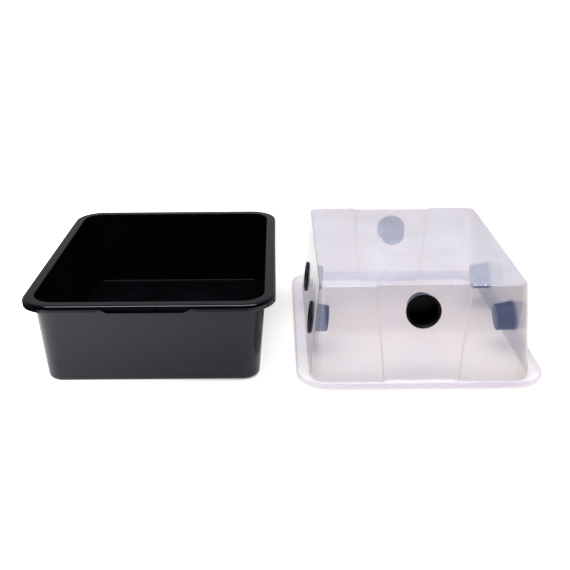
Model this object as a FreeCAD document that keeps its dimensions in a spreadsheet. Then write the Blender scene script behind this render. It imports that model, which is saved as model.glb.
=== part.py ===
"""A two-part ported enclosure: a black open tub, and a clear tub that covers it, set down beside it.

Both tubs are drawn mouth down, the way they leave their mould: z = 0 is the rim's face and the closed end
is at the tub's height. The base is then turned mouth up by its placement. Six push-in plugs close round
ports in the cover's walls. Millimetres, +Z up, origin on the floor under the middle of the whole.
"""
import FreeCAD, Part
import math
import os

import Sketcher
from FreeCAD import Placement, Rotation, Vector

DIMENSIONS = {
    # Both tubs share one rim outline, so that they meet rim to rim.
    "rim_width": 406,
    "rim_length": 500,
    "wall": 2,
    # The base tub. A draft is how far each wall leans in over the tub's height.
    "base_height": 146,
    "base_flange": 16,
    "base_draft": 12.3,
    "base_rim_corner": 52,
    "base_wall_corner": 40,
    "base_end_edge": 8,
    "base_skirt": 12,
    "base_rim_edge": 6,
    # The grip lips on the skirt of the base's short sides, which lean out towards their free edge.
    "grip_width": 150,
    "grip_taper": 16,
    "grip_start": 5,
    "grip_set": 0.4,
    "grip_root": 1.8,
    "grip_flare": 2.2,
    # The cover tub.
    "cover_height": 165,
    "cover_flange": 21.5,
    "cover_draft": 15.4,
    "cover_rim_corner": 54,
    "cover_wall_corner": 33,
    "cover_end_edge": 3,
    "cover_skirt": 11.5,
    "cover_rim_edge": 4,
    # The sunk panels in the cover's short walls, widest at the closed end.
    "panel_end_width": 150,
    "panel_rim_width": 120,
    "panel_depth": 7,
    "panel_overcut": 12,
    # The ports in the cover, and the plugs that close them.
    "port_radius": 25.5,
    "port_cut": 20,
    "port_side_height": 61,
    "port_end_height": 120,
    "port_spread": 97,
    "plug_play": 0.15,
    "plug_flange_radius": 28.5,
    "plug_flange": 3.25,
    "plug_tip_radius": 23,
    "plug_length": 30,
    "plug_wall": 1.5,
    "plug_mouth": 0.85,
    "plug_edge": 1,
    # How the cover is set down beside the base.
    "rim_gap": 32.8,
    "cover_forward": 9,
}

COVER_X = "(dims.rim_width + dims.rim_gap) / 2"
COVER_Y = "-(dims.cover_forward + dims.grip_flare) / 2"
BASE_Y = "(dims.cover_forward - dims.grip_flare) / 2"
COVER_LEAN = "atan(dims.cover_draft / dims.cover_height)"

SIDE_REACH = ("dims.rim_width / 2 - dims.cover_flange"
              " - dims.cover_draft * dims.port_side_height / dims.cover_height")
END_REACH = ("dims.rim_length / 2 - dims.cover_flange - dims.panel_depth"
             " - dims.cover_draft * dims.port_end_height / dims.cover_height")

# Each port: the wall's outward direction, and how far along the wall the port lies, in port spreads.
PORTS = {
    "front": ((0, -1), 0),
    "back": ((0, 1), 0),
    "left_front": ((-1, 0), -1),
    "left_rear": ((-1, 0), 1),
    "right_front": ((1, 0), -1),
    "right_rear": ((1, 0), 1),
}


def make_dimensions(doc):
    """The sheet that every size in the model is bound to."""
    sheet = doc.addObject("Spreadsheet::Sheet", "dims")
    for row, (alias, value) in enumerate(DIMENSIONS.items(), start=1):
        sheet.set(f"A{row}", alias)
        sheet.set(f"B{row}", str(value))
        sheet.setAlias(f"B{row}", alias)
    doc.recompute()


def origin_plane(body, role):
    """One of the planes of the body's own origin."""
    return next(item for item in body.Origin.OriginFeatures if item.Role == role)


def new_sketch(body, name, plane="XY_Plane", height=None):
    """A sketch on one of the body's origin planes, raised by an expression if one is given."""
    sketch = body.newObject("Sketcher::SketchObject", name)
    sketch.AttachmentSupport = (origin_plane(body, plane), [""])
    sketch.MapMode = "FlatFace"
    if height:
        sketch.setExpression("AttachmentOffset.Base.z", height)
    return sketch


def number(sketch, size):
    """What an expression comes to now, as a plain number."""
    value = sketch.evalExpression(size)
    return float(getattr(value, "Value", value))


def drive(sketch, kind, references, size):
    """A dimension of the sketch, driven by an expression."""
    index = sketch.addConstraint(Sketcher.Constraint(kind, *references, number(sketch, size)))
    sketch.setExpression(f"Constraints[{index}]", size)


def rounded_rectangle(sketch, width, length, corner):
    """A rounded rectangle about the sketch's origin. Its three sizes are expressions."""
    radius = number(sketch, corner)
    reach_x = number(sketch, width) / 2 - radius
    reach_y = number(sketch, length) / 2 - radius
    signs = [(1, 1), (-1, 1), (-1, -1), (1, -1)]
    arcs = []
    for quarter, (x_sign, y_sign) in enumerate(signs):
        circle = Part.Circle(Vector(x_sign * reach_x, y_sign * reach_y, 0), Vector(0, 0, 1), radius)
        start = quarter * math.pi / 2
        arcs.append(Part.ArcOfCircle(circle, start, start + math.pi / 2))
    for arc in arcs:
        sketch.addGeometry(arc)
    for quarter in range(4):
        following = arcs[(quarter + 1) % 4]
        sketch.addGeometry(Part.LineSegment(arcs[quarter].EndPoint, following.StartPoint))
    for quarter in range(4):
        line = 4 + quarter
        sketch.addConstraint(Sketcher.Constraint("Tangent", quarter, 2, line, 1))
        sketch.addConstraint(Sketcher.Constraint("Tangent", line, 2, (quarter + 1) % 4, 1))
        sketch.addConstraint(Sketcher.Constraint("Vertical" if quarter % 2 else "Horizontal", line))
    for quarter in range(1, 4):
        sketch.addConstraint(Sketcher.Constraint("Equal", 0, quarter))
    sketch.addConstraint(Sketcher.Constraint("Symmetric", 0, 3, 2, 3, -1, 1))
    drive(sketch, "Radius", (0,), corner)
    drive(sketch, "DistanceX", (5, 1, 7, 1), width)
    drive(sketch, "DistanceY", (6, 1, 4, 1), length)


def pinned_polygon(sketch, corners):
    """A closed polygon whose corners are pairs of expressions. "0" puts a corner on the vertical axis."""
    points = [Vector(number(sketch, x), number(sketch, y), 0) for x, y in corners]
    count = len(points)
    for index in range(count):
        sketch.addGeometry(Part.LineSegment(points[index], points[(index + 1) % count]))
    for index in range(count):
        sketch.addConstraint(Sketcher.Constraint("Coincident", index, 2, (index + 1) % count, 1))
    for index, (x, y) in enumerate(corners):
        if x == "0":
            sketch.addConstraint(Sketcher.Constraint("PointOnObject", index, 1, -2))
        else:
            drive(sketch, "DistanceX", (-1, 1, index, 1), x)
        drive(sketch, "DistanceY", (-1, 1, index, 1), y)


def loft(body, kind, name, lower, upper):
    """A straight-sided loft between two sketches."""
    feature = body.newObject(kind, name)
    feature.Profile = lower
    feature.Sections = [upper]
    feature.Ruled = True
    body.Document.recompute()
    return feature


def upright_faces(feature):
    """Names of the feature's faces that stand up from its ends."""
    return [f"Face{index}" for index, face in enumerate(feature.Shape.Faces, start=1)
            if face.BoundBox.ZLength > 1]


def level_edges(feature, level):
    """Names of the feature's edges that lie flat at one height."""
    names = []
    for index, edge in enumerate(feature.Shape.Edges, start=1):
        box = edge.BoundBox
        if abs(box.ZMin - level) < 0.01 and abs(box.ZMax - level) < 0.01:
            names.append(f"Edge{index}")
    return names


def round_edges(body, name, edges, radius):
    """A fillet on named edges of the body's last feature."""
    base = body.Tip
    fillet = body.newObject("PartDesign::Fillet", name)
    fillet.Base = (base, edges)
    fillet.setExpression("Radius", radius)
    body.Document.recompute()
    return fillet


def wall_form(doc, tub, name, inset, panels):
    """The solid that a tub's walls and end enclose, drawn in by an inset from their outer faces."""
    body = doc.addObject("PartDesign::Body", name)
    side = f"dims.{tub}_flange + {inset}"
    height = f"dims.{tub}_height - {inset}"
    sketch = new_sketch(body, f"{name}_mouth")
    rounded_rectangle(sketch, f"dims.rim_width - 2 * ({side})", f"dims.rim_length - 2 * ({side})",
                      f"dims.{tub}_wall_corner - {inset}")
    block = body.newObject("PartDesign::Pad", f"{name}_block")
    block.Profile = sketch
    block.setExpression("Length", height)
    doc.recompute()
    draft = body.newObject("PartDesign::Draft", f"{name}_draft")
    draft.Base = (block, upright_faces(block))
    draft.NeutralPlane = (origin_plane(body, "XY_Plane"), [""])
    draft.setExpression("Angle", f"atan(dims.{tub}_draft / dims.{tub}_height)")
    doc.recompute()
    if panels:
        sink_panel(body, f"{name}_panel_front", "-1", inset, side)
        sink_panel(body, f"{name}_panel_back", "1", inset, side)
    round_edges(body, f"{name}_end_round", level_edges(body.Tip, number(sketch, height)),
                f"dims.{tub}_end_edge - {inset}")
    return body


def sink_panel(body, name, face, inset, side):
    """A panel sunk in one short wall of the cover, parallel to the wall and widest at the closed end."""
    sketches = []
    for level in ("0", f"dims.cover_height - {inset}"):
        share = f"({level}) / dims.cover_height"
        half = (f"((dims.panel_rim_width + (dims.panel_end_width - dims.panel_rim_width) * {share}) / 2"
                f" + {inset})")
        floor = f"(dims.rim_length / 2 - ({side}) - dims.cover_draft * {share} - dims.panel_depth)"
        sketch = new_sketch(body, f"{name}_{len(sketches)}", height=level)
        pinned_polygon(sketch, [
            (f"-{half}", f"{face} * {floor}"),
            (half, f"{face} * {floor}"),
            (half, f"{face} * ({floor} + dims.panel_overcut)"),
            (f"-{half}", f"{face} * ({floor} + dims.panel_overcut)"),
        ])
        sketches.append(sketch)
    loft(body, "PartDesign::SubtractiveLoft", name, *sketches)


def rim_tray(doc, tub):
    """The rim plate with its turned skirt, as a shallow tray of one thickness."""
    body = doc.addObject("PartDesign::Body", f"{tub}_rim")
    sketch = new_sketch(body, f"{tub}_rim_outline")
    rounded_rectangle(sketch, "dims.rim_width", "dims.rim_length", f"dims.{tub}_rim_corner")
    block = body.newObject("PartDesign::Pad", f"{tub}_rim_block")
    block.Profile = sketch
    block.setExpression("Length", f"dims.{tub}_skirt")
    doc.recompute()
    rounded = round_edges(body, f"{tub}_rim_round", level_edges(block, 0), f"dims.{tub}_rim_edge")
    top = max(range(len(rounded.Shape.Faces)), key=lambda index: rounded.Shape.Faces[index].CenterOfMass.z)
    tray = body.newObject("PartDesign::Thickness", f"{tub}_rim_shell")
    tray.Base = (rounded, [f"Face{top + 1}"])
    tray.Reversed = True
    tray.setExpression("Value", "dims.wall")
    doc.recompute()
    return body


def grip_lip(doc, face):
    """The lip in the middle of a short side's skirt, a wedge that leans out to its narrower free edge."""
    body = doc.addObject("PartDesign::Body", f"grip_{'front' if face == '-1' else 'back'}")
    root = "(dims.rim_length / 2 - dims.grip_root)"
    levels = [
        ("dims.grip_start", "dims.grip_width / 2", "(dims.rim_length / 2 - dims.grip_set)"),
        ("dims.base_skirt", "(dims.grip_width / 2 - dims.grip_taper)",
         "(dims.rim_length / 2 + dims.grip_flare)"),
    ]
    sketches = []
    for level, half, reach in levels:
        sketch = new_sketch(body, f"{body.Name}_{len(sketches)}", height=level)
        pinned_polygon(sketch, [
            (f"-{half}", f"{face} * {root}"),
            (half, f"{face} * {root}"),
            (half, f"{face} * {reach}"),
            (f"-{half}", f"{face} * {reach}"),
        ])
        sketches.append(sketch)
    loft(body, "PartDesign::AdditiveLoft", f"{body.Name}_wedge", *sketches)
    return body


def join(doc, name, pieces):
    """One solid from several that overlap."""
    fuse = doc.addObject("Part::MultiFuse", name)
    fuse.Shapes = pieces
    fuse.Refine = True
    return fuse


def cut(doc, name, base, tool):
    """What is left of the base outside the tool."""
    difference = doc.addObject("Part::Cut", name)
    difference.Base = base
    difference.Tool = tool
    difference.Refine = True
    return difference


def place(item, placement, x="0", y="0", z="0"):
    """Put the item at a turn, with its position bound to expressions."""
    item.Placement = placement
    for axis, expression in (("x", x), ("y", y), ("z", z)):
        if expression != "0":
            item.setExpression(f"Placement.Base.{axis}", expression)


def base_tub(doc):
    """The black tub, turned mouth up."""
    outer = join(doc, "base_outer", [
        rim_tray(doc, "base"),
        wall_form(doc, "base", "base_walls", "0", panels=False),
        grip_lip(doc, "-1"),
        grip_lip(doc, "1"),
    ])
    inner = wall_form(doc, "base", "base_hollow", "dims.wall", panels=False)
    tub = cut(doc, "base_tub", outer, inner)
    mouth_up = Placement(Vector(), Rotation(Vector(0, 1, 0), 180))
    place(tub, mouth_up, x=f"-{COVER_X}", y=BASE_Y, z="dims.base_height")
    return tub


def stand_on_wall(item, port, lift, x="0", y="0"):
    """Point the item's own +Z out of the cover's wall at a port, raised off the wall by a lift."""
    (out_x, out_y), along = PORTS[port]
    reach, height = (SIDE_REACH, "dims.port_side_height") if out_x else (END_REACH, "dims.port_end_height")
    out = f"({reach} + {lift} * cos({COVER_LEAN}))"
    spread = f"{along} * dims.port_spread"
    item.Placement = Placement(Vector(), Rotation(Vector(abs(out_y), abs(out_x), 0), 45))
    item.setExpression("Placement.Rotation.Angle", f"{out_x - out_y} * (90 - {COVER_LEAN} / 1 deg)")
    item.setExpression("Placement.Base.x", f"{x} + " + (f"{out_x} * {out}" if out_x else spread))
    item.setExpression("Placement.Base.y", f"{y} + " + (f"{out_y} * {out}" if out_y else spread))
    item.setExpression("Placement.Base.z", f"{height} + {lift} * sin({COVER_LEAN})")


def port_cutter(doc, port):
    """The cylinder that cuts one port, square to its wall."""
    cutter = doc.addObject("Part::Cylinder", f"port_{port}")
    cutter.setExpression("Radius", "dims.port_radius")
    cutter.setExpression("Height", "dims.port_cut")
    stand_on_wall(cutter, port, "-dims.port_cut / 2")
    return cutter


def cover_tub(doc):
    """The clear tub, mouth down, with its sunk panels and its ports."""
    outer = join(doc, "cover_outer", [
        rim_tray(doc, "cover"),
        wall_form(doc, "cover", "cover_walls", "0", panels=True),
    ])
    inner = wall_form(doc, "cover", "cover_hollow", "dims.wall", panels=True)
    shell = cut(doc, "cover_shell", outer, inner)
    ports = join(doc, "cover_ports", [port_cutter(doc, port) for port in PORTS])
    tub = cut(doc, "cover_tub", shell, ports)
    place(tub, Placement(), x=COVER_X, y=COVER_Y)
    return tub


def port_plug(doc, port):
    """A push-in plug: a tapered cup, closed at its inner end, under a flange that stops on the wall."""
    body = doc.addObject("PartDesign::Body", f"port_plug_{port}")
    sketch = new_sketch(body, f"plug_{port}_profile", plane="XZ_Plane")
    neck = "(dims.port_radius - dims.plug_play)"
    bore = f"({neck} - dims.plug_wall)"
    pinned_polygon(sketch, [
        ("0", "-dims.plug_length"),
        ("dims.plug_tip_radius", "-dims.plug_length"),
        (neck, "0"),
        ("dims.plug_flange_radius", "0"),
        ("dims.plug_flange_radius", "dims.plug_flange"),
        (f"{bore} + dims.plug_mouth", "dims.plug_flange"),
        (bore, "dims.plug_flange - dims.plug_mouth"),
        ("dims.plug_tip_radius - dims.plug_wall", "dims.plug_wall - dims.plug_length"),
        ("0", "dims.plug_wall - dims.plug_length"),
    ])
    turned = body.newObject("PartDesign::Revolution", f"plug_{port}_cup")
    turned.Profile = sketch
    turned.ReferenceAxis = (sketch, ["V_Axis"])
    turned.Angle = 360
    doc.recompute()
    rims = [
        f"Edge{index}"
        for index, edge in enumerate(turned.Shape.Edges, start=1)
        if is_outer_ring(edge, number(sketch, "dims.plug_flange_radius"), number(sketch, "dims.plug_flange"))
        or is_outer_ring(edge, number(sketch, "dims.plug_tip_radius"), -number(sketch, "dims.plug_length"))
    ]
    round_edges(body, f"plug_{port}_round", rims, "dims.plug_edge")
    stand_on_wall(body, port, "dims.plug_play", x=COVER_X, y=COVER_Y)
    return body


def is_outer_ring(edge, radius, level):
    """Whether an edge is the circle of this radius at this height."""
    circle = getattr(edge.Curve, "Radius", None)
    return circle is not None and abs(circle - radius) < 0.01 and abs(edge.BoundBox.ZMin - level) < 0.01


def check_and_write(doc, pieces):
    """Stop on anything that failed, then write one file for each piece."""
    for item in doc.Objects:
        if "Invalid" in item.State or "Error" in item.State:
            raise RuntimeError(f"{item.Name} failed: {item.State}")
    os.makedirs("parts", exist_ok=True)
    for piece in pieces:
        shape = piece.Shape
        if shape.isNull() or not shape.isValid() or len(shape.Solids) != 1:
            raise RuntimeError(f"{piece.Label} isn't one valid solid")
        box = shape.BoundBox
        print(f"{piece.Label}: {shape.Volume / 1000:.1f} cm3,"
              f" x {box.XMin:.2f} to {box.XMax:.2f}, y {box.YMin:.2f} to {box.YMax:.2f},"
              f" z {box.ZMin:.2f} to {box.ZMax:.2f}")
        shape.exportStep(f"parts/{piece.Label}.step")


def main():
    doc = FreeCAD.newDocument("ported_enclosure")
    make_dimensions(doc)
    pieces = [base_tub(doc), cover_tub(doc)]
    pieces += [port_plug(doc, port) for port in PORTS]
    doc.recompute()
    check_and_write(doc, pieces)


main()
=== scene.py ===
"""Looks of the two-part ported enclosure: two moulded tubs and six push-in plugs, on a pale studio floor.

Lengths are metres in the row's frame. Each tub is drawn mouth down about its own middle, as it leaves its
mould, from closed outlines that run down its inside, round its rim and skirt, and up its outside.
"""
import math
from dataclasses import dataclass

import bmesh
import bpy
from mathutils import Matrix, Vector


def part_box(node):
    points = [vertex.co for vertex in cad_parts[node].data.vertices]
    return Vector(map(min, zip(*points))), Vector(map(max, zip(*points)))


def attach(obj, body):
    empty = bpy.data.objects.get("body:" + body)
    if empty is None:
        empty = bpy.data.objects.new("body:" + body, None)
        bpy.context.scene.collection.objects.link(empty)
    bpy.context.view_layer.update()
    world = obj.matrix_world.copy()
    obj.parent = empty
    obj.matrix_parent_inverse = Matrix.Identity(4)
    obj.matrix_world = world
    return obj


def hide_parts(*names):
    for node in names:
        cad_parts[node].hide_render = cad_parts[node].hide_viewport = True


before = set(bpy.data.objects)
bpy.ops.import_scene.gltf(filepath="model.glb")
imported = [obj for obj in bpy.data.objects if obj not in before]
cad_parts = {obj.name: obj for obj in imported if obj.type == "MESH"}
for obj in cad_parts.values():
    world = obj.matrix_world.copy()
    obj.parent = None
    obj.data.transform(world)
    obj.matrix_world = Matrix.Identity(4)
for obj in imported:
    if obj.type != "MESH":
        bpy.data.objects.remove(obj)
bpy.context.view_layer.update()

MM = 0.001


# ---------------------------------------------------------------- sizes

@dataclass
class Groove:
    """A sunk panel, or with a negative depth a proud lip, in the middle of a tub's short sides."""
    half_at_rim: float
    half_at_end: float
    depth: float
    outer_round: float
    inner_round: float


@dataclass
class Tub:
    """One drafted tub, mouth down. A draft is how far each wall leans in over the tub's height."""
    node: str
    height: float
    flange: float
    draft: float
    wall_corner: float
    rim_corner: float
    end_edge: float
    skirt: float
    rim_edge: float
    mouth_up: bool
    panel: Groove = None
    grip: Groove = None
    ports: bool = False

    def __post_init__(self):
        low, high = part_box(self.node)
        self.centre = (low + high) / 2
        self.slope = self.draft / self.height
        self.lean = math.atan(self.slope)
        self.corner_x = RIM_WIDTH / 2 - self.flange - self.wall_corner
        self.corner_y = RIM_LENGTH / 2 - self.flange - self.wall_corner


BASE_LOW, BASE_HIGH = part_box("base_tub")
COVER_LOW, COVER_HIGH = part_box("cover_tub")
RIM_WIDTH = COVER_HIGH.x - COVER_LOW.x
RIM_LENGTH = COVER_HIGH.y - COVER_LOW.y
WALL = 2 * MM
# The grip starts this far down the skirt, set a little behind its face, and leans out by its flare.
GRIP_FLARE = (BASE_HIGH.y - BASE_LOW.y - RIM_LENGTH) / 2
GRIP_START = 5 * MM
GRIP_SET = 0.4 * MM

PORT_RADIUS = 25.5 * MM
PORT_SIDE_HEIGHT = 61 * MM
PORT_END_HEIGHT = 120 * MM
PORT_SPREAD = 97 * MM
# The walls' grid has a fine square patch about each port. One pitch suits ports at both heights.
PATCH_CELLS = 12
CELLS_BETWEEN_HEIGHTS = 10
PATCH_PITCH = (PORT_END_HEIGHT - PORT_SIDE_HEIGHT) / CELLS_BETWEEN_HEIGHTS
PATCH_HALF = PATCH_PITCH * PATCH_CELLS / 2

BASE = Tub(
    node="base_tub", height=BASE_HIGH.z, flange=16 * MM, draft=12.3 * MM, wall_corner=40 * MM,
    rim_corner=52 * MM, end_edge=8 * MM, skirt=12 * MM, rim_edge=6 * MM, mouth_up=True,
    grip=Groove(half_at_rim=75 * MM, half_at_end=59 * MM, depth=-GRIP_FLARE,
                outer_round=0.5 * MM, inner_round=0.5 * MM),
)
COVER = Tub(
    node="cover_tub", height=COVER_HIGH.z, flange=21.5 * MM, draft=15.4 * MM, wall_corner=33 * MM,
    rim_corner=54 * MM, end_edge=3 * MM, skirt=11.5 * MM, rim_edge=4 * MM, mouth_up=False,
    panel=Groove(half_at_rim=60 * MM, half_at_end=75 * MM, depth=7 * MM,
                 outer_round=2.5 * MM, inner_round=2.5 * MM), ports=True,
)

# Each port: the wall's outward direction, and how far along the wall the port lies, in port spreads.
PORTS = {
    "front": ((0, -1), 0),
    "back": ((0, 1), 0),
    "left_front": ((-1, 0), -1),
    "left_rear": ((-1, 0), 1),
    "right_front": ((1, 0), -1),
    "right_rear": ((1, 0), 1),
}


# ---------------------------------------------------------------- outlines

# How many steps each stretch of an outline has. Sides are counted from their middles.
CORNER_STEPS = 16
ROUND_STEPS = 5
PLAIN_SIDE_STEPS = 12
STEPS_TO_PATCH = 4
STEPS_PAST_PATCH = 5
STEPS_TO_GROOVE = 7
GROOVE_FLOOR_STEPS = 4
LEAST_ROUND = 0.15 * MM


def spaced(start, end, count):
    """Evenly spaced numbers from start up to but not including end."""
    return [start + (end - start) * step / count for step in range(count)]


def side_stations(tub):
    """Where the outline's points lie along a long side, from its middle to its corner."""
    if not tub.ports:
        return spaced(0, tub.corner_y, PLAIN_SIDE_STEPS)
    near = PORT_SPREAD - PATCH_HALF
    far = PORT_SPREAD + PATCH_HALF
    patch = [near + PATCH_PITCH * step for step in range(PATCH_CELLS)]
    return spaced(0, near, STEPS_TO_PATCH) + patch + spaced(far, tub.corner_y, STEPS_PAST_PATCH)


def groove_path(groove, half, inset):
    """Points across one edge of a groove, as (distance from the middle, share of its depth), going in."""
    outer = max(groove.outer_round - inset, LEAST_ROUND)
    inner = max(groove.inner_round + inset, LEAST_ROUND)
    depth = max(abs(groove.depth), outer + inner)
    path = []
    for step in range(ROUND_STEPS + 1):
        turn = math.pi / 2 * step / ROUND_STEPS
        path.append((half + outer - outer * math.sin(turn), outer * (1 - math.cos(turn))))
    for step in range(ROUND_STEPS + 1):
        turn = math.pi / 2 * step / ROUND_STEPS
        path.append((half - inner * (1 - math.cos(turn)), depth - inner + inner * math.sin(turn)))
    return [(distance, drop / depth) for distance, drop in path]


def outline(tub, corner_x, corner_y, radius, height, groove, half, inset, depth):
    """One closed outline: a rounded rectangle whose short sides have a groove of this half width."""
    quarter = [(corner_x + radius, y) for y in side_stations(tub)]
    for step in range(CORNER_STEPS + 1):
        turn = math.pi / 2 * step / CORNER_STEPS
        quarter.append((corner_x + radius * math.cos(turn), corner_y + radius * math.sin(turn)))
    path = groove_path(groove, half, inset)
    edge = path[0][0]
    reach = corner_y + radius
    quarter += [(x, reach) for x in spaced(corner_x, edge, STEPS_TO_GROOVE)[1:]]
    quarter += [(x, reach - share * depth) for x, share in path]
    floor_edge = path[-1][0]
    floor = spaced(floor_edge, PATCH_HALF, GROOVE_FLOOR_STEPS)[1:]
    floor += [PATCH_HALF - PATCH_PITCH * step for step in range(PATCH_CELLS // 2 + 1)]
    quarter += [(x, reach - depth) for x in floor]
    points = list(quarter)
    points += [(-x, y) for x, y in reversed(quarter[:-1])]
    points += [(-x, -y) for x, y in quarter[1:]]
    points += [(x, -y) for x, y in reversed(quarter[1:-1])]
    return [Vector((x, y, height)) for x, y in points]


def wall_outline(tub, height, inset):
    """The wall's outline at a height above the rim's face, drawn in by an inset."""
    shrink = tub.slope * height + inset
    if tub.panel:
        groove = tub.panel
        share = height / tub.height
        half = groove.half_at_rim + (groove.half_at_end - groove.half_at_rim) * share + inset
        depth = groove.depth
    else:
        groove, half, depth = tub.grip, tub.grip.half_at_rim, 0
    return outline(tub, tub.corner_x, tub.corner_y, tub.wall_corner - shrink, height, groove, half,
                   inset, depth)


def rim_outline(tub, height, inset, lip=0):
    """The rim's outline, drawn in by an inset. A lip from 0 to 1 brings out the grip of the base."""
    groove = tub.grip or tub.panel
    share = min(max((height - GRIP_START) / (tub.skirt - GRIP_START), 0), 1) if tub.grip else 0
    half = groove.half_at_rim + (groove.half_at_end - groove.half_at_rim) * share
    proud = (GRIP_FLARE + GRIP_SET) * share - GRIP_SET
    depth = -max(proud, 0) * lip if tub.grip else 0
    return outline(tub, RIM_WIDTH / 2 - tub.rim_corner, RIM_LENGTH / 2 - tub.rim_corner,
                   tub.rim_corner - inset, height, groove, half, 0, depth)


def between(first, last, shares):
    """Outlines part of the way from one to another."""
    return [[a.lerp(b, share) for a, b in zip(first, last)] for share in shares]


# ---------------------------------------------------------------- a tub's profile

MOUTH_ROUND = 0.8 * MM
SKIRT_ROUND = 0.7 * MM
ROOT_ROUND = 2 * MM
EDGE_GUARD = 0.3 * MM
# How many steps each round and each plain stretch of the profile has.
END_EDGE_STEPS = 6
MOUTH_STEPS = 4
RIM_EDGE_STEPS = 8
SKIRT_STEPS = 6
SKIRT_OUTER_STEPS = 4
SKIRT_INNER_STEPS = 3
SKIRT_BACK_STEPS = 3
UNDER_RIM_STEPS = 4
ROOT_STEPS = 5
PLAIN_WALL_STEPS = 14
STEPS_TO_PORTS = 4
# Where the outlines across each flat lie. Those close to its edges keep the rounds' shading off the flat.
FACE_SHARES = (0.02, 0.35, 0.65, 0.98)
UNDERSIDE_SHARES = (0.02, 0.5, 0.98)
END_SHARES = (0.002, 0.08, 0.2, 0.4, 0.6, 0.8, 0.95)


def arc(steps, start=0.0):
    """Turns from a start to a right angle."""
    return [start + (math.pi / 2 - start) * step / steps for step in range(steps + 1)]


def end_round(tub, inset):
    """Outlines round the edge of the closed end, from the wall to the flat."""
    radius = tub.end_edge - inset
    level = tub.height - inset - radius
    across = inset + tub.slope * (level + radius * math.sin(tub.lean)) + radius * math.cos(tub.lean)
    outlines = []
    for turn in arc(END_EDGE_STEPS, start=tub.lean):
        height = level + radius * math.sin(turn)
        drawn_in = across - radius * math.cos(turn) - tub.slope * height
        outlines.append(wall_outline(tub, height, drawn_in))
    return outlines


def end_cap(tub, last):
    """Outlines that close the flat of the end towards its middle."""
    height = last[0].z
    middle = Vector((0, 0, height))
    return between(last, [middle] * len(last), END_SHARES)


def wall_levels(tub, low, high):
    """Heights of the wall's outlines: on the ports' grid where there are ports, and even elsewhere.

    An outline close to each end keeps the shading of the rounded edges off the flat of the wall.
    """
    ends = [low, low + EDGE_GUARD], [high - EDGE_GUARD, high]
    if not tub.ports:
        return ends[0] + spaced(low, high, PLAIN_WALL_STEPS)[1:] + ends[1]
    first = PORT_SIDE_HEIGHT - PATCH_HALF
    last = PORT_END_HEIGHT + PATCH_HALF
    rows = round((last - first) / PATCH_PITCH)
    grid = [first + PATCH_PITCH * row for row in range(rows + 1)]
    return ends[0] + spaced(low, first, STEPS_TO_PORTS)[1:] + grid + [(last + high) / 2] + ends[1]


def rim_outlines(tub):
    """Outlines from the mouth's inner edge, over the rim's face, round the skirt and back to the wall."""
    rings = []
    for turn in arc(MOUTH_STEPS):
        height = MOUTH_ROUND * (1 - math.sin(turn))
        rings.append(wall_outline(tub, height, WALL - MOUTH_ROUND * (1 - math.cos(turn))))
    face_edge = rim_outline(tub, 0, tub.rim_edge)
    rings += between(rings[-1], face_edge, FACE_SHARES)
    for turn in arc(RIM_EDGE_STEPS):
        height = tub.rim_edge * (1 - math.cos(turn))
        rings.append(rim_outline(tub, height, tub.rim_edge * (1 - math.sin(turn)), lip=1))
    free = tub.skirt - SKIRT_ROUND
    levels = spaced(tub.rim_edge, free, SKIRT_STEPS)[1:] + [free]
    rings += [rim_outline(tub, height, 0, lip=1) for height in levels]
    for turn in arc(SKIRT_OUTER_STEPS)[1:]:
        height = free + SKIRT_ROUND * math.sin(turn)
        rings.append(rim_outline(tub, height, SKIRT_ROUND * (1 - math.cos(turn)), lip=1))
    for turn in arc(SKIRT_INNER_STEPS):
        height = free + SKIRT_ROUND * math.cos(turn)
        rings.append(rim_outline(tub, height, WALL - SKIRT_ROUND * (1 - math.sin(turn))))
    inner = tub.rim_edge - WALL
    levels = spaced(free, WALL + inner, SKIRT_BACK_STEPS)[1:]
    rings += [rim_outline(tub, height, WALL) for height in levels]
    for turn in arc(UNDER_RIM_STEPS):
        height = WALL + inner * (1 - math.sin(turn))
        rings.append(rim_outline(tub, height, WALL + inner * (1 - math.cos(turn))))
    root = [
        wall_outline(tub, WALL + ROOT_ROUND * (1 - math.cos(turn)), -ROOT_ROUND * (1 - math.sin(turn)))
        for turn in arc(ROOT_STEPS)
    ]
    rings += between(rings[-1], root[0], UNDERSIDE_SHARES)
    return rings + root


def tub_outlines(tub):
    """Every outline of a tub in order, with the index of each wall outline by side and row."""
    inner_end = end_round(tub, WALL)
    outer_end = end_round(tub, 0)
    inner_levels = wall_levels(tub, MOUTH_ROUND, inner_end[0][0].z)
    outer_levels = wall_levels(tub, WALL + ROOT_ROUND, outer_end[0][0].z)
    rows = {}
    rings = list(reversed(end_cap(tub, inner_end[-1]))) + list(reversed(inner_end))[:-1]
    for row in reversed(range(len(inner_levels))):
        rows["inner", row] = len(rings)
        rings.append(wall_outline(tub, inner_levels[row], WALL))
    rings += rim_outlines(tub)[1:-1]
    for row, level in enumerate(outer_levels):
        rows["outer", row] = len(rings)
        rings.append(wall_outline(tub, level, 0))
    rings += outer_end[1:] + end_cap(tub, outer_end[-1])
    return rings, rows


# ---------------------------------------------------------------- ports and meshes

SAMPLE_ROW = 4
PATCH_SLACK = 0.01 * MM
PORT_COLLAR = 3 * MM
PORT_SOFTNESS = 0.5 * MM
PORT_EDGE_STEPS = 3
COINCIDENT = 0.0003 * MM


@dataclass
class Patch:
    """The square of wall grid that a port takes out, by columns and rows, and the port's own axes."""
    columns: list
    rows: list
    middle: Vector
    along: Vector
    up: Vector
    out: Vector


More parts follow.
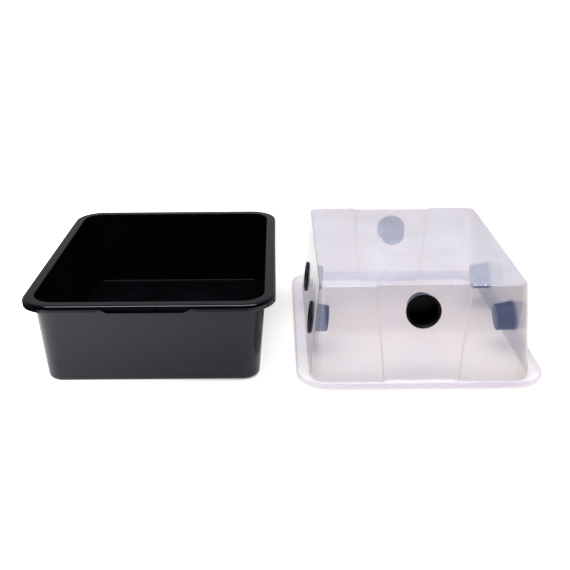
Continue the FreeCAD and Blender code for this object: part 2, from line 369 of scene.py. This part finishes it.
def port_frame(tub, port):
    """A port's middle on the wall's outer face, and its directions along the wall, up it and out of it."""
    (out_x, out_y), spread = PORTS[port]
    height = PORT_SIDE_HEIGHT if out_x else PORT_END_HEIGHT
    half = RIM_WIDTH / 2 if out_x else RIM_LENGTH / 2 - tub.panel.depth
    reach = half - tub.flange - tub.slope * height
    along = Vector((-out_y, out_x, 0))
    out = Vector((out_x * math.cos(tub.lean), out_y * math.cos(tub.lean), math.sin(tub.lean)))
    middle = Vector((out_x * reach, out_y * reach, height))
    middle += Vector((abs(out_y), abs(out_x), 0)) * spread * PORT_SPREAD
    return middle, along, out.cross(along), out


def port_patch(tub, port, rings, rows):
    """Find the columns and rows of wall grid that a port's square takes up.

    A column lies on the port's own wall if it is no further in than the sunk panel, to a millimetre.
    """
    middle, along, up, out = port_frame(tub, port)
    sample = rings[rows["outer", SAMPLE_ROW]]
    half = PATCH_HALF + PATCH_SLACK
    level_out = Vector((out.x, out.y, 0)).normalized()
    reach = max(point.dot(level_out) for point in sample) - tub.panel.depth - MM
    columns = [
        column for column, point in enumerate(sample)
        if point.dot(level_out) > reach and abs((point - middle).dot(along)) < half
    ]
    columns.sort(key=lambda column: (sample[column] - middle).dot(along))
    levels = {row: rings[index][0].z for (side, row), index in rows.items() if side == "outer"}
    kept = sorted(row for row, level in levels.items() if abs(level - middle.z) < half)
    return Patch(columns, kept, middle, along, up, out)


def patch_border(patch):
    """The square's border as (column, row) pairs, once round."""
    first, last = patch.rows[0], patch.rows[-1]
    left, right = patch.columns[0], patch.columns[-1]
    border = [(column, first) for column in patch.columns[:-1]]
    border += [(right, row) for row in patch.rows[:-1]]
    border += [(column, last) for column in reversed(patch.columns[1:])]
    border += [(left, row) for row in reversed(patch.rows[1:])]
    return border


def build_port(bm, tub, patch, grid, rows):
    """Join the square holes in the two faces of a wall by a round port with softened edges."""
    border = patch_border(patch)
    outer = [grid[rows["outer", row]][column] for column, row in border]
    inner = [grid[rows["inner", row]][column] for column, row in border]
    turns = [
        math.atan2((vert.co - patch.middle).dot(patch.up), (vert.co - patch.middle).dot(patch.along))
        for vert in outer
    ]
    depth = WALL * math.cos(tub.lean)
    soft = PORT_SOFTNESS
    section = [(PORT_RADIUS + PORT_COLLAR, 0)]
    for turn in arc(PORT_EDGE_STEPS):
        section.append((PORT_RADIUS + soft * (1 - math.sin(turn)), soft * (1 - math.cos(turn))))
    section += [(radius, depth - sunk) for radius, sunk in reversed(section)]
    loops = [outer]
    for radius, sunk in section:
        loops.append([
            bm.verts.new(patch.middle - patch.out * sunk
                         + (patch.along * math.cos(turn) + patch.up * math.sin(turn)) * radius)
            for turn in turns
        ])
    loops.append(inner)
    for first, last in zip(loops, loops[1:]):
        stitch(bm, first, last)


def stitch(bm, first, last):
    """A band of faces between two closed loops of as many points."""
    count = len(first)
    for index in range(count):
        after = (index + 1) % count
        bm.faces.new((first[index], first[after], last[after], last[index]))


def finish_mesh(name, bm, body, node, *materials):
    """Turn a bmesh into a smooth-shaded piece that stands for a CAD node and rides on its body.

    Where a groove is only as deep as its two rounds, they share a point, so such points are merged first.
    """
    bmesh.ops.remove_doubles(bm, verts=bm.verts, dist=COINCIDENT)
    bmesh.ops.recalc_face_normals(bm, faces=bm.faces)
    mesh = bpy.data.meshes.new(name)
    bm.to_mesh(mesh)
    bm.free()
    mesh.polygons.foreach_set("use_smooth", [True] * len(mesh.polygons))
    piece = bpy.data.objects.new(name, mesh)
    bpy.context.scene.collection.objects.link(piece)
    for material in materials:
        mesh.materials.append(material)
    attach(piece, body)
    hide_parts(node)


def inside_area(index, rows):
    """1 for the inner face of a tub, 0 for the rest."""
    return int(index < rows["inner", 0])


def rim_area(index, rows):
    """1 for a tub's rim and skirt, 0 for the rest."""
    return int(rows["inner", 0] <= index < rows["outer", 0])


def build_tub(tub, name, body, materials, area):
    """One tub as a closed mesh, with its ports if it has them, and a second material over one area."""
    rings, rows = tub_outlines(tub)
    bm = bmesh.new()
    grid = [[bm.verts.new(point) for point in ring] for ring in rings]
    patches = [port_patch(tub, port, rings, rows) for port in PORTS] if tub.ports else []
    taken = set()
    for patch in patches:
        for side in ("outer", "inner"):
            for row in patch.rows[:-1]:
                lower = min(rows[side, row], rows[side, row + 1])
                taken.update((lower, frozenset(pair)) for pair in zip(patch.columns, patch.columns[1:]))
    count = len(rings[0])
    for index in range(len(rings) - 1):
        for column in range(count):
            after = (column + 1) % count
            if (index, frozenset((column, after))) in taken:
                continue
            face = bm.faces.new((grid[index][column], grid[index][after],
                                 grid[index + 1][after], grid[index + 1][column]))
            face.material_index = area(index, rows)
    bm.faces.new(grid[0]).material_index = area(0, rows)
    bm.faces.new(reversed(grid[-1]))
    for patch in patches:
        build_port(bm, tub, patch, grid, rows)
    place = Matrix.Translation((tub.centre.x, tub.centre.y, 0))
    if tub.mouth_up:
        place = place @ Matrix.Translation((0, 0, tub.height)) @ Matrix.Rotation(math.pi, 4, "Y")
    bm.transform(place)
    finish_mesh(name, bm, body, tub.node, *materials)


# ---------------------------------------------------------------- plugs

PLUG_STEPS = 96
PLUG_PLAY = 0.15 * MM
PLUG_FLANGE_RADIUS = 28.5 * MM
PLUG_FLANGE = 3.25 * MM
PLUG_TIP_RADIUS = 23 * MM
PLUG_LENGTH = 30 * MM
PLUG_WALL = 1.5 * MM
PLUG_MOUTH = 0.85 * MM
# The radii of the corners in a plug's section.
SHARP = 0
CRISP = 0.3 * MM
SOFT = 1.0 * MM
CORNER_ROUND_STEPS = 4


def corner_round(before, corner, after, radius):
    """Points that round one corner of a profile."""
    first = (before - corner).normalized()
    last = (after - corner).normalized()
    half = first.angle(last) / 2
    reach = radius / math.tan(half)
    middle = corner + (first + last).normalized() * radius / math.sin(half)
    start = (corner + first * reach - middle).normalized()
    end = (corner + last * reach - middle).normalized()
    shares = [step / CORNER_ROUND_STEPS for step in range(CORNER_ROUND_STEPS + 1)]
    return [middle + start.slerp(end, share) * radius for share in shares]


def plug_profile():
    """Half the plug's section, as (radius, 0, height) points from its closed inner end to its cup."""
    neck = PORT_RADIUS - PLUG_PLAY
    bore = neck - PLUG_WALL
    corners = [
        ((0, -PLUG_LENGTH), SHARP),
        ((PLUG_TIP_RADIUS, -PLUG_LENGTH), SOFT),
        ((neck, 0), CRISP),
        ((PLUG_FLANGE_RADIUS, 0), CRISP),
        ((PLUG_FLANGE_RADIUS, PLUG_FLANGE), SOFT),
        ((bore + PLUG_MOUTH, PLUG_FLANGE), CRISP),
        ((bore, PLUG_FLANGE - PLUG_MOUTH), CRISP),
        ((PLUG_TIP_RADIUS - PLUG_WALL, PLUG_WALL - PLUG_LENGTH), SOFT),
        ((0, PLUG_WALL - PLUG_LENGTH), SHARP),
    ]
    places = [Vector((radius, 0, height)) for (radius, height), _ in corners]
    profile = []
    for index, (_, radius) in enumerate(corners):
        if radius:
            profile += corner_round(places[index - 1], places[index], places[index + 1], radius)
        else:
            profile.append(places[index])
    return profile


def build_plug(port, material):
    """One plug, turned about its own axis and stood in its port."""
    bm = bmesh.new()
    profile = plug_profile()
    loops = []
    for point in profile[1:-1]:
        loops.append([
            bm.verts.new(Matrix.Rotation(math.tau * step / PLUG_STEPS, 3, "Z") @ point)
            for step in range(PLUG_STEPS)
        ])
    for first, last in zip(loops, loops[1:]):
        stitch(bm, first, last)
    for loop, tip in ((loops[0], profile[0]), (loops[-1], profile[-1])):
        middle = bm.verts.new(tip)
        for index in range(PLUG_STEPS):
            bm.faces.new((loop[index], loop[(index + 1) % PLUG_STEPS], middle))
    middle, along, up, out = port_frame(COVER, port)
    turn = Matrix((along, up, out)).transposed().to_4x4()
    stand = middle + out * PLUG_PLAY + Vector((COVER.centre.x, COVER.centre.y, 0))
    bm.transform(Matrix.Translation(stand) @ turn)
    finish_mesh(f"plug_{port}", bm, f"plug_{port}", f"port_plug_{port}", material)


# ---------------------------------------------------------------- materials

# Most of a noise texture's values lie in this span.
NOISE_SPAN = (0.3, 0.7)

# Black plastic. Noise scales are in waves per metre.
BLACK_IOR = 1.43
BLACK_SPECULAR_TINT = (0.87, 0.82, 1.0, 1.0)
MOTTLE_SCALE = 14
SMUDGE_SCALE = 28
SMUDGE = (-0.04, 0.05)
COOLING_RIPPLE_SCALE = 9
GRAIN_SCALE = 1400

# Milky plastic. A slant is 0 where the surface is seen square on and 1 where it is seen along itself.
CLEAR_IOR = 1.49
SKIN_ROUGHNESS = 0.08
TINT_SLANTS = (0.1, 0.5)
HAZE = (0.11, 0.188)
HAZE_SLANTS = (0.1, 0.33)
EDGE_COLOUR = (0.42, 0.40, 0.46)
EDGE_SLANTS = (0.78, 1.0)
CLOUD_SCALE = 11
CLOUD = (0.85, 1.2)
WALL_RIPPLE_SCALE = 16
WALL_RIPPLE_DEPTH = 0.35 * MM


def new_material(name):
    """An empty node material and its node tree."""
    material = bpy.data.materials.new(name)
    material.use_nodes = True
    tree = material.node_tree
    tree.nodes.clear()
    return material, tree


def add(tree, kind, **settings):
    """Add a node. A setting names an input, with _ for each space, or after a leading _ a property."""
    node = tree.nodes.new(kind)
    for key, value in settings.items():
        if key.startswith("_"):
            setattr(node, key[1:], value)
        else:
            node.inputs[key.replace("_", " ")].default_value = value
    return node


def noise(tree, scale, detail, roughness=0.5):
    """Noise fixed in the object's own space, at a scale in waves per metre."""
    place = add(tree, "ShaderNodeTexCoord")
    texture = add(tree, "ShaderNodeTexNoise", Scale=scale, Detail=detail, Roughness=roughness)
    tree.links.new(place.outputs["Object"], texture.inputs["Vector"])
    return texture.outputs["Fac"]


def remap(tree, value, ends, span=NOISE_SPAN):
    """Turn a value that runs over a span into one that runs between two ends."""
    node = add(tree, "ShaderNodeMapRange", From_Min=span[0], From_Max=span[1],
               To_Min=ends[0], To_Max=ends[1])
    tree.links.new(value, node.inputs["Value"])
    return node.outputs["Result"]


def bumped(tree, layers):
    """A normal from layers of (height, depth in metres)."""
    normal = None
    for height, depth in layers:
        bump = add(tree, "ShaderNodeBump", Strength=1.0, Distance=depth)
        tree.links.new(height, bump.inputs["Height"])
        if normal:
            tree.links.new(normal, bump.inputs["Normal"])
        normal = bump.outputs["Normal"]
    return normal


def blend_colour(tree, amount, first, last):
    """A colour between two others. Each is a fixed colour or another node's output."""
    node = add(tree, "ShaderNodeMix", _data_type="RGBA")
    tree.links.new(amount, node.inputs["Factor"])
    for socket, colour in (("A", first), ("B", last)):
        if isinstance(colour, tuple):
            node.inputs[socket].default_value = (*colour, 1)
        else:
            tree.links.new(colour, node.inputs[socket])
    return node.outputs["Result"]


def combined(tree, operation, first, last):
    """Arithmetic on two values."""
    node = add(tree, "ShaderNodeMath", _operation=operation)
    tree.links.new(first, node.inputs[0])
    tree.links.new(last, node.inputs[1])
    return node.outputs[0]


def black_plastic(name, dark, pale, gloss, shine, grain_depth, ripple_depth):
    """Black moulded plastic: fine grain, faint mottle and slow ripples from cooling.

    Gloss is its mean roughness, and shine is how strongly it mirrors.
    """
    material, tree = new_material(name)
    shader = add(tree, "ShaderNodeBsdfPrincipled", IOR=BLACK_IOR,
                 Specular_Tint=BLACK_SPECULAR_TINT, Specular_IOR_Level=shine)
    mottle = remap(tree, noise(tree, MOTTLE_SCALE, detail=4), (0, 1))
    tree.links.new(blend_colour(tree, mottle, dark, pale), shader.inputs["Base Color"])
    roughness = [gloss + change for change in SMUDGE]
    smudge = remap(tree, noise(tree, SMUDGE_SCALE, detail=5, roughness=0.6), roughness)
    tree.links.new(smudge, shader.inputs["Roughness"])
    ripple = noise(tree, COOLING_RIPPLE_SCALE, detail=1)
    grain = noise(tree, GRAIN_SCALE, detail=2)
    normal = bumped(tree, [(ripple, ripple_depth), (grain, grain_depth)])
    tree.links.new(normal, shader.inputs["Normal"])
    output = add(tree, "ShaderNodeOutputMaterial")
    tree.links.new(shader.outputs["BSDF"], output.inputs["Surface"])
    return material


def milky_plastic(name, clear, slant_clear, facing_tint, slant_tint, painted_light_haze):
    """Milky-clear polypropylene: a thin bluish haze in the wall under a smooth glossy skin.

    The haze grows and whitens as the wall is seen more slantwise, light that gets through comes out
    warmer, and edges seen along the surface go grey. An extra share of haze on top of that of the walls
    is painted light: it brightens a part as if more light reached it.
    """
    material, tree = new_material(name)
    slant = add(tree, "ShaderNodeLayerWeight", Blend=0.5).outputs["Facing"]

    slanted = remap(tree, slant, (0, 1), TINT_SLANTS)
    edge = remap(tree, slant, (0, 1), EDGE_SLANTS)
    through = add(tree, "ShaderNodeBsdfTransparent")
    passed = blend_colour(tree, slanted, clear, slant_clear)
    tree.links.new(blend_colour(tree, edge, passed, EDGE_COLOUR), through.inputs["Color"])

    tint = blend_colour(tree, slanted, facing_tint, slant_tint)
    lit = add(tree, "ShaderNodeBsdfDiffuse")
    glow = add(tree, "ShaderNodeBsdfTranslucent")
    haze = add(tree, "ShaderNodeMixShader", Fac=0.5)
    for index, side in enumerate((lit, glow)):
        tree.links.new(tint, side.inputs["Color"])
        tree.links.new(side.outputs[0], haze.inputs[1 + index])
    amount = remap(tree, slant, [share + painted_light_haze for share in HAZE], HAZE_SLANTS)
    cloud = remap(tree, noise(tree, CLOUD_SCALE, detail=3), CLOUD)
    wall = add(tree, "ShaderNodeMixShader")
    tree.links.new(combined(tree, "MULTIPLY", amount, cloud), wall.inputs["Fac"])
    tree.links.new(through.outputs[0], wall.inputs[1])
    tree.links.new(haze.outputs[0], wall.inputs[2])

    ripple = bumped(tree, [(noise(tree, WALL_RIPPLE_SCALE, detail=2), WALL_RIPPLE_DEPTH)])
    skin = add(tree, "ShaderNodeBsdfGlossy", Roughness=SKIN_ROUGHNESS)
    tree.links.new(ripple, skin.inputs["Normal"])
    bend = add(tree, "ShaderNodeMix", _data_type="FLOAT", A=CLEAR_IOR, B=1 / CLEAR_IOR)
    tree.links.new(add(tree, "ShaderNodeNewGeometry").outputs["Backfacing"], bend.inputs["Factor"])
    mirror = add(tree, "ShaderNodeFresnel")
    tree.links.new(bend.outputs["Result"], mirror.inputs["IOR"])
    tree.links.new(ripple, mirror.inputs["Normal"])
    surface = add(tree, "ShaderNodeMixShader")
    tree.links.new(mirror.outputs["Fac"], surface.inputs["Fac"])
    tree.links.new(wall.outputs[0], surface.inputs[1])
    tree.links.new(skin.outputs[0], surface.inputs[2])
    output = add(tree, "ShaderNodeOutputMaterial")
    tree.links.new(surface.outputs[0], output.inputs["Surface"])
    return material


# ---------------------------------------------------------------- stage

WARM_WHITE = (1.0, 0.985, 0.965, 1)
PAPER_COLOUR = (0.38, 0.374, 0.368, 1)
CARD_COLOUR = (0.01, 0.01, 0.012, 1)
ROOM_COLOUR = (0.97, 0.96, 1.0, 1)
FLOOR_HALF = 30
FLOOR_DROP = 0.2 * MM
BACKDROP_RADIUS = 25
BACKDROP_HEIGHT = 30
FLAG_NEAR = -0.56
FLAG_LEFT = -0.62
FLAG_FAR = 8

# Strengths of the paper's own light at the two ends of a span of metres: from the object's middle outwards,
# along X towards the cover, and along Y, where it rises under the object's front and fades to the back.
GLOW_OUTWARDS = ((0.28, 1.0), (0.5, 1.6))
GLOW_ALONG = ((1.0, 0), (-0.5, -0.09))
GLOW_RISE = ((0, 0.26), (-0.28, -0.22))
GLOW_FADE = ((1.0, 0), (-0.2, 0.1))
# The room's strength, by how far back a direction points.
ROOM_LIGHT = ((0.01, 0.33), (-0.2, 0.6))

CAMERA_PLACE = (-0.0118, -1.4682, 0.6714)
CAMERA_HEADING = -0.46
CAMERA_DIP = 21.94
CAMERA_ROLL = -0.27
CAMERA_LENS = 54.18
CAMERA_SENSOR = 36
TRANSPARENT_BOUNCES = 32


def studio_floor():
    """A wide pale floor, bright enough of itself that shadows on it stay faint."""
    bm = bmesh.new()
    bmesh.ops.create_grid(bm, x_segments=4, y_segments=4, size=FLOOR_HALF)
    mesh = bpy.data.meshes.new("studio_floor")
    bm.to_mesh(mesh)
    bm.free()
    floor = bpy.data.objects.new("studio_floor", mesh)
    floor.location.z = -FLOOR_DROP
    bpy.context.scene.collection.objects.link(floor)
    floor.data.materials.append(studio_paper())


def studio_paper():
    """White paper, lit past white, with light of its own where the lights fade or shadows would show."""
    material, tree = new_material("studio_paper")
    shader = add(tree, "ShaderNodeBsdfPrincipled", Roughness=1.0, Specular_IOR_Level=0.0,
                 Base_Color=PAPER_COLOUR, Emission_Color=WARM_WHITE)
    place = add(tree, "ShaderNodeNewGeometry").outputs["Position"]
    reach = add(tree, "ShaderNodeVectorMath", _operation="LENGTH")
    tree.links.new(place, reach.inputs[0])
    outwards = remap(tree, reach.outputs["Value"], *GLOW_OUTWARDS)
    split = add(tree, "ShaderNodeSeparateXYZ")
    tree.links.new(place, split.inputs["Vector"])
    along = remap(tree, split.outputs["X"], *GLOW_ALONG)
    rise = remap(tree, split.outputs["Y"], *GLOW_RISE)
    fade = remap(tree, split.outputs["Y"], *GLOW_FADE)
    under = combined(tree, "MULTIPLY", rise, fade)
    total = combined(tree, "ADD", combined(tree, "ADD", outwards, along), under)
    tree.links.new(total, shader.inputs["Emission Strength"])
    output = add(tree, "ShaderNodeOutputMaterial")
    tree.links.new(shader.outputs["BSDF"], output.inputs["Surface"])
    return material


def white_backdrop():
    """A tall white wall far round the object, which only the camera sees: no black horizon shows."""
    bm = bmesh.new()
    bmesh.ops.create_cone(bm, segments=64, radius1=BACKDROP_RADIUS, radius2=BACKDROP_RADIUS,
                          depth=BACKDROP_HEIGHT, cap_ends=False)
    mesh = bpy.data.meshes.new("backdrop")
    bm.to_mesh(mesh)
    bm.free()
    material, tree = new_material("backdrop_white")
    shader = add(tree, "ShaderNodeEmission", Color=WARM_WHITE, Strength=1.0)
    output = add(tree, "ShaderNodeOutputMaterial")
    tree.links.new(shader.outputs["Emission"], output.inputs["Surface"])
    mesh.materials.append(material)
    backdrop = bpy.data.objects.new("backdrop", mesh)
    for seen_by in ("diffuse", "glossy", "transmission", "volume_scatter", "shadow"):
        setattr(backdrop, f"visible_{seen_by}", False)
    bpy.context.scene.collection.objects.link(backdrop)


def black_flags():
    """Black cards laid on the paper in front of the object and to its left, unseen by the camera.

    They darken what the object mirrors.
    """
    cards = {
        "flag_front": ((FLAG_LEFT, -FLAG_FAR), (FLAG_FAR, FLAG_NEAR)),
        "flag_left": ((-FLAG_FAR, -FLAG_FAR), (FLAG_LEFT, FLAG_FAR)),
    }
    material, tree = new_material("black_card")
    shader = add(tree, "ShaderNodeBsdfDiffuse", Color=CARD_COLOUR)
    output = add(tree, "ShaderNodeOutputMaterial")
    tree.links.new(shader.outputs["BSDF"], output.inputs["Surface"])
    for name, ((x0, y0), (x1, y1)) in cards.items():
        mesh = bpy.data.meshes.new(name)
        mesh.from_pydata([(x0, y0, 0), (x1, y0, 0), (x1, y1, 0), (x0, y1, 0)], [], [(0, 1, 2, 3)])
        mesh.materials.append(material)
        card = bpy.data.objects.new(name, mesh)
        card.visible_camera = False
        card.visible_shadow = False
        bpy.context.scene.collection.objects.link(card)


def softbox(name, place, aim, size, power, mirrored):
    """A rectangular studio light that points at a place, and may be kept out of reflections."""
    data = bpy.data.lights.new(name, "AREA")
    data.shape = "RECTANGLE"
    data.size, data.size_y = size
    data.energy = power
    light = bpy.data.objects.new(name, data)
    light.visible_glossy = mirrored
    light.location = place
    light.rotation_euler = (Vector(aim) - Vector(place)).to_track_quat("-Z", "Y").to_euler()
    bpy.context.scene.collection.objects.link(light)


def studio_world():
    """A dim room: a grey backdrop behind the object, darker on the side it is seen from."""
    world = bpy.data.worlds.new("studio")
    bpy.context.scene.world = world
    world.use_nodes = True
    tree = world.node_tree
    tree.nodes.clear()
    place = add(tree, "ShaderNodeTexCoord")
    split = add(tree, "ShaderNodeSeparateXYZ")
    tree.links.new(place.outputs["Generated"], split.inputs["Vector"])
    behind = remap(tree, split.outputs["Y"], *ROOM_LIGHT)
    background = add(tree, "ShaderNodeBackground", Color=ROOM_COLOUR)
    tree.links.new(behind, background.inputs["Strength"])
    output = add(tree, "ShaderNodeOutputWorld")
    tree.links.new(background.outputs["Background"], output.inputs["Surface"])


def studio_camera():
    """The camera: a short telephoto from the front, above the rims and looking down."""
    data = bpy.data.cameras.new("camera")
    data.sensor_width = CAMERA_SENSOR
    data.lens = CAMERA_LENS
    camera = bpy.data.objects.new("camera", data)
    place = Matrix.Translation(CAMERA_PLACE)
    heading = Matrix.Rotation(math.radians(CAMERA_HEADING), 4, "Z")
    pitch = Matrix.Rotation(math.radians(90 - CAMERA_DIP), 4, "X")
    roll = Matrix.Rotation(math.radians(CAMERA_ROLL), 4, "Z")
    camera.matrix_world = place @ heading @ pitch @ roll
    bpy.context.scene.collection.objects.link(camera)
    bpy.context.scene.camera = camera


def studio():
    """The whole stage: floor, room, backdrop, cards, two softboxes and the camera."""
    studio_floor()
    studio_world()
    white_backdrop()
    black_flags()
    softbox("softbox_key", place=(-0.1, -0.55, 1.75), aim=(-0.1, -0.3, 0), size=(1.8, 0.45), power=36,
            mirrored=True)
    softbox("softbox_fill", place=(0, 0.2, 2.2), aim=(0, 0, 0), size=(3, 3), power=190, mirrored=False)
    studio_camera()
    scene = bpy.context.scene
    scene.view_settings.view_transform = "Standard"
    scene.cycles.transparent_max_bounces = TRANSPARENT_BOUNCES


# ---------------------------------------------------------------- the object

def build_base():
    """The black tub, with a rougher finish inside than out, where it also mirrors far more weakly: painted
    shade in its hollow.
    """
    dark, pale = (0.0005, 0.0005, 0.0007), (0.0012, 0.0011, 0.0016)
    outside = black_plastic("black_tub_plastic", dark, pale, gloss=0.16, shine=0.5,
                            grain_depth=0.012 * MM, ripple_depth=0.5 * MM)
    # Painted shade: the inside mirrors light far more weakly than the outside, which keeps highlights out
    # of the tub's hollow.
    inside = black_plastic("black_tub_inside_painted_shade", dark, pale, gloss=0.24, shine=0.06,
                           grain_depth=0.02 * MM, ripple_depth=0.5 * MM)
    build_tub(BASE, "black_tub", "base", (outside, inside), inside_area)


def build_cover():
    """The milky-clear tub. Its rim is a lighter copy of the wall's plastic, letting more light through
    under more and whiter haze: painted light for light that reaches the flange.
    """
    wall = milky_plastic("milky_clear_plastic", painted_light_haze=0,
                         clear=(0.872, 0.84, 0.82), slant_clear=(0.845, 0.805, 0.735),
                         facing_tint=(0.42, 0.56, 1.0), slant_tint=(0.72, 0.77, 1.0))
    # Painted light: the rim lets more light through and has more, whiter haze than the wall, standing in
    # for light that reaches the flange.
    rim = milky_plastic("milky_clear_rim_painted_light", painted_light_haze=0.07,
                        clear=(0.93, 0.91, 0.90), slant_clear=(0.91, 0.89, 0.88),
                        facing_tint=(0.66, 0.68, 0.90), slant_tint=(0.80, 0.79, 0.90))
    build_tub(COVER, "clear_tub", "cover", (wall, rim), rim_area)


def build_plugs():
    """The six plugs, of one matt black plastic."""
    dark, pale = (0.0006, 0.0006, 0.0008), (0.0016, 0.0016, 0.002)
    black = black_plastic("black_plug_plastic", dark, pale, gloss=0.34, shine=0.2,
                          grain_depth=0.03 * MM, ripple_depth=0.05 * MM)
    for port in PORTS:
        build_plug(port, black)


def main():
    """Build the stage and the object."""
    studio()
    build_base()
    build_cover()
    build_plugs()


main()
